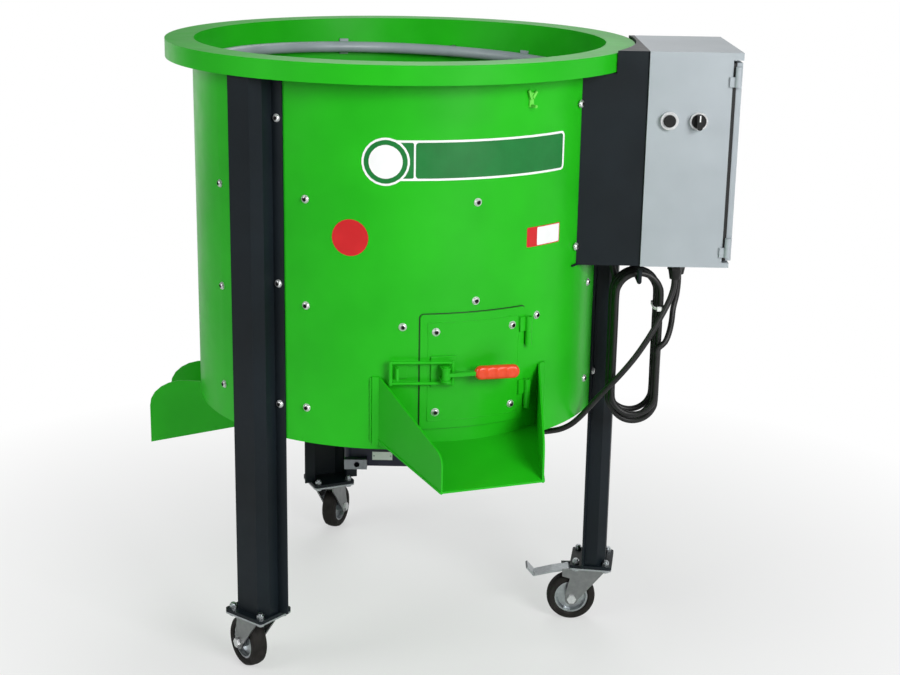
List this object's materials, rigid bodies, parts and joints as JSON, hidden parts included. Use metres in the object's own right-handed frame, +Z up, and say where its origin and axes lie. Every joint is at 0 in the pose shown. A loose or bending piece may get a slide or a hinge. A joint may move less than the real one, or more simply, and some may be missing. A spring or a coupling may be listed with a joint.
{
  "type": "drum walnut huller",
  "caption": "Drum walnut huller on caster legs: ribbed rotor under a spray ring, clamped gate over a chute, waste trough, worm drive and switch box.",
  "frame": {"origin": "on the ground under the middle of the bounding box, cords left out", "axes": "+Z up, front with the gate chute towards -Y, switch box towards +X"},
  "size_m": [1.0014, 0.885, 1.047],
  "materials": {
    "green_paint": "glossy powder coat",
    "anthracite_paint": "satin powder coat",
    "zinc_steel": "bright zinc plate",
    "box_paint": "fine textured powder coat",
    "navy_paint": "satin enamel",
    "plain_steel": "bare, rubbed",
    "tyre_rubber": "moulded",
    "cord_rubber": "matte sheath",
    "black_plastic": "moulded",
    "red_plastic": "moulded grip",
    "grey_pipe": "smooth pipe",
    "bronze": "cast bronze"
  },
  "bodies": {
    "frame": {"drum_shell": "green_paint", "drum_rim": "green_paint", "drum_floor": "green_paint", "wall_liners": "plain_steel", "wall_screws": "zinc_steel", "leg_front_left": "anthracite_paint", "leg_right": "anthracite_paint", "leg_rear": "anthracite_paint", "base_plates": "anthracite_paint", "caster_plates": "zinc_steel", "plate_bolts": "zinc_steel", "spray_ring": "grey_pipe", "water_inlet": "zinc_steel", "discharge_chute": "green_paint", "waste_chute": "green_paint", "gate_hinge_fixed": "green_paint", "clamp_catch": "green_paint", "control_bracket": "anthracite_paint", "hooks": "anthracite_paint", "enclosure_body": "box_paint", "door_gasket": "cord_rubber", "cable_glands": "black_plastic", "starter_gear": "plain_steel", "switch_bezels": "zinc_steel", "gearbox_housing": "navy_paint", "gearbox_flange": "plain_steel", "motor_body": "navy_paint", "fan_cowl": "navy_paint", "terminal_box": "navy_paint", "motor_cable": "cord_rubber", "power_cord_lead": "cord_rubber", "power_cord_coil": "cord_rubber", "power_cord_tail": "cord_rubber", "power_plug": "black_plastic"},
    "rotor": {"rotor_disc": "plain_steel", "rotor_bars": "plain_steel", "rotor_shaft": "plain_steel", "worm_wheel": "bronze"},
    "worm": {"worm_shaft": "plain_steel"},
    "gate": {"gate_door": "green_paint", "gate_liner": "green_paint", "gate_screws": "zinc_steel", "clamp_base": "green_paint"},
    "handle": {"clamp_handle": "green_paint", "clamp_grip": "red_plastic"},
    "hook": {"clamp_hook": "green_paint"},
    "button": {"push_button": "black_plastic"},
    "selector": {"selector_knob": "black_plastic"},
    "box_door": {"enclosure_door": "box_paint"},
    "lock": {"door_lock": "zinc_steel"},
    "fork_left": {"caster_fork_left": "zinc_steel"},
    "wheel_left": {"caster_hub_left": "zinc_steel", "caster_tyre_left": "tyre_rubber"},
    "fork_right": {"caster_fork_right": "zinc_steel"},
    "wheel_right": {"caster_hub_right": "zinc_steel", "caster_tyre_right": "tyre_rubber"},
    "pedal": {"brake_pedal": "zinc_steel"},
    "fork_rear": {"caster_fork_rear": "zinc_steel"},
    "wheel_rear": {"caster_hub_rear": "zinc_steel", "caster_tyre_rear": "tyre_rubber"}
  },
  "joints": [
    {"name": "gate_swing", "type": "hinge", "parent": "frame", "child": "gate", "pos_m": [0.16443, -0.24927, 0.558], "axis": [0, 0, 1], "range_deg": [0, 70]},
    {"name": "handle_throw", "type": "hinge", "parent": "gate", "child": "handle", "pos_m": [0.03359, -0.32989, 0.56], "axis": [0, 0, -1], "range_deg": [0, 100]},
    {"name": "hook_tilt", "type": "hinge", "parent": "handle", "child": "hook", "pos_m": [0.04364, -0.3203, 0.56], "axis": [0, 0, -1], "range_deg": [-100, 0]},
    {"name": "button_press", "type": "slide", "parent": "frame", "child": "button", "axis": [0, 1, 0], "range_m": [0, 0.004], "stiffness_N_per_m": 900},
    {"name": "selector_turn", "type": "hinge", "parent": "frame", "child": "selector", "pos_m": [0.43073, -0.15457, 0.938], "axis": [0, -1, 0], "range_deg": [-45, 45]},
    {"name": "box_door_swing", "type": "hinge", "parent": "frame", "child": "box_door", "pos_m": [0.48973, -0.15907, 0.872], "axis": [0, 0, -1], "range_deg": [0, 115]},
    {"name": "lock_turn", "type": "hinge", "parent": "box_door", "child": "lock", "pos_m": [0.49673, 0.07043, 0.87], "axis": [1, 0, 0], "range_deg": [0, 90]},
    {"name": "rotor_spin", "type": "hinge", "parent": "frame", "child": "rotor", "pos_m": [-0.05327, 0.03543, 0.473], "axis": [0, 0, 1], "continuous": true},
    {"name": "worm_spin", "type": "hinge", "parent": "frame", "child": "worm", "pos_m": [0.02173, 0.03543, 0.357], "axis": [0, 1, 0], "continuous": true},
    {"name": "swivel_left", "type": "hinge", "parent": "frame", "child": "fork_left", "pos_m": [-0.27652, -0.24827, 0.0001], "axis": [0, 0, 1], "continuous": true},
    {"name": "wheel_left_spin", "type": "hinge", "parent": "fork_left", "child": "wheel_left", "pos_m": [-0.29768, -0.21914, 0.044], "axis": [0.809, 0.5878, 0], "continuous": true},
    {"name": "swivel_right", "type": "hinge", "parent": "frame", "child": "fork_right", "pos_m": [0.30404, -0.01606, 0.0001], "axis": [0, 0, 1], "continuous": true},
    {"name": "wheel_right_spin", "type": "hinge", "parent": "fork_right", "child": "wheel_right", "pos_m": [0.26804, -0.01606, 0.044], "axis": [0, 1, 0], "continuous": true},
    {"name": "pedal_press", "type": "hinge", "parent": "fork_right", "child": "pedal", "pos_m": [0.26004, -0.01606, 0.095], "axis": [0, -1, 0], "range_deg": [0, 12]},
    {"name": "swivel_rear", "type": "hinge", "parent": "frame", "child": "fork_rear", "pos_m": [-0.20298, 0.36392, 0.0001], "axis": [0, 0, 1], "continuous": true},
    {"name": "wheel_rear_spin", "type": "hinge", "parent": "fork_rear", "child": "wheel_rear", "pos_m": [-0.19126, 0.39796, 0.044], "axis": [0.9455, -0.3256, 0], "continuous": true}
  ],
  "couplings": [
    {"joint": "hook_tilt", "follows": "handle_throw", "ratio": -1},
    {"joint": "worm_spin", "follows": "rotor_spin", "ratio": 7.5}
  ]
}
